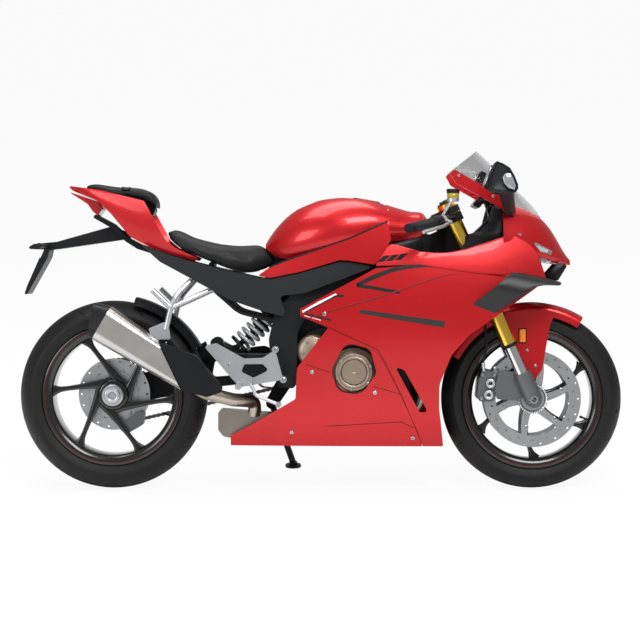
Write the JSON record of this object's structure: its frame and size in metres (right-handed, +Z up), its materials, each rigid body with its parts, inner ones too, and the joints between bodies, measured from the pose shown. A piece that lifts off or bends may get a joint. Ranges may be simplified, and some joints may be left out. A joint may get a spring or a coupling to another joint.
{
  "type": "sport motorcycle",
  "caption": "Road sport motorcycle with a full fairing, an upside-down fork and a single-sided swingarm, parked on its side stand.",
  "frame": {"origin": "centre of the machine's box, on the floor that its tyres and its stand's foot touch", "axes": "+X forward, +Y towards the left side that it leans to, +Z up"},
  "size_m": [2.0018, 0.785, 1.1149],
  "materials": {
    "tyre": "matt",
    "rim_black": "satin",
    "disc_steel": "ground",
    "steel": "turned",
    "silver_alloy": "satin",
    "cast_grey": "cast",
    "gold_alloy": "anodised",
    "chrome": "polished",
    "black_alloy": "satin",
    "rubber": "matt",
    "frame_black": "satin",
    "engine_black": "satin",
    "bronze": "satin",
    "chain_steel": "oiled",
    "stainless": "brushed",
    "dark_plastic": "grained",
    "black_gloss": "gloss",
    "red_paint": "metallic gloss",
    "seat_cover": "grained",
    "spring_grey": "satin",
    "clear": "clear",
    "lamp_dark": "gloss",
    "lamp_red": "gloss",
    "core": "finned"
  },
  "bodies": {
    "chassis": {"chain": "chain_steel", "dash": "dark_plastic", "engine": "engine_black", "engine_covers": "bronze", "exhaust_collector": "stainless", "exhaust_guard": "dark_plastic", "exhaust_headers": "stainless", "fairing_lower": "red_paint", "fairing_sides": "red_paint", "foot_controls": "silver_alloy", "frame": "frame_black", "front_sprocket": "steel", "fuel_tank": "red_paint", "headlamps": "lamp_dark", "hugger": "dark_plastic", "mirrors": "black_gloss", "muffler": "stainless", "muffler_cap": "black_gloss", "nose_cowl": "red_paint", "passenger_hangers": "silver_alloy", "passenger_seat": "seat_cover", "plate_holder": "dark_plastic", "radiator": "core", "rear_caliper": "black_alloy", "rearset_plates": "silver_alloy", "rider_seat": "seat_cover", "shock": "black_alloy", "shock_spring": "spring_grey", "subframe": "frame_black", "subframe_covers": "dark_plastic", "swingarm": "frame_black", "tail_fairing": "red_paint", "tail_lamp": "lamp_red", "tail_tray": "dark_plastic", "tank_side_panels": "red_paint", "windscreen": "clear", "winglets": "black_gloss"},
    "steering": {"fork_outer_tubes": "gold_alloy", "fork_inner_tubes": "chrome", "fork_feet": "cast_grey", "front_spindle": "steel", "lower_clamp": "black_alloy", "upper_clamp": "black_alloy", "handlebars": "black_alloy", "grips": "rubber", "bar_controls": "dark_plastic", "levers": "black_alloy", "front_fender": "red_paint", "front_calipers": "cast_grey"},
    "front_wheel": {"front_tyre": "tyre", "front_rim": "rim_black", "front_discs": "disc_steel"},
    "rear_wheel": {"rear_tyre": "tyre", "rear_rim": "rim_black", "rear_disc": "disc_steel", "rear_spindle": "steel", "rear_hub_nut": "silver_alloy", "rear_sprocket": "black_alloy"},
    "side_stand": {"side_stand": "frame_black"}
  },
  "joints": [
    {"name": "steering_turn", "type": "hinge", "parent": "chassis", "child": "steering", "pos_m": [0.43977, -0.03388, 0.8071], "axis": [-0.4065, 0.1586, 0.8998], "range_deg": [-26, 26]},
    {"name": "front_wheel_spin", "type": "hinge", "parent": "steering", "child": "front_wheel", "pos_m": [0.70109, -0.12391, 0.29643], "axis": [-0.0001, 0.9848, -0.1736], "continuous": true},
    {"name": "rear_wheel_spin", "type": "hinge", "parent": "chassis", "child": "rear_wheel", "pos_m": [-0.6889, -0.12182, 0.30868], "axis": [-0.0001, 0.9848, -0.1736], "continuous": true},
    {"name": "side_stand_swing", "type": "hinge", "parent": "chassis", "child": "side_stand", "pos_m": [-0.16892, -0.00613, 0.25055], "axis": [-0.0957, 0.99, 0.1034], "range_deg": [0, 98]}
  ]
}
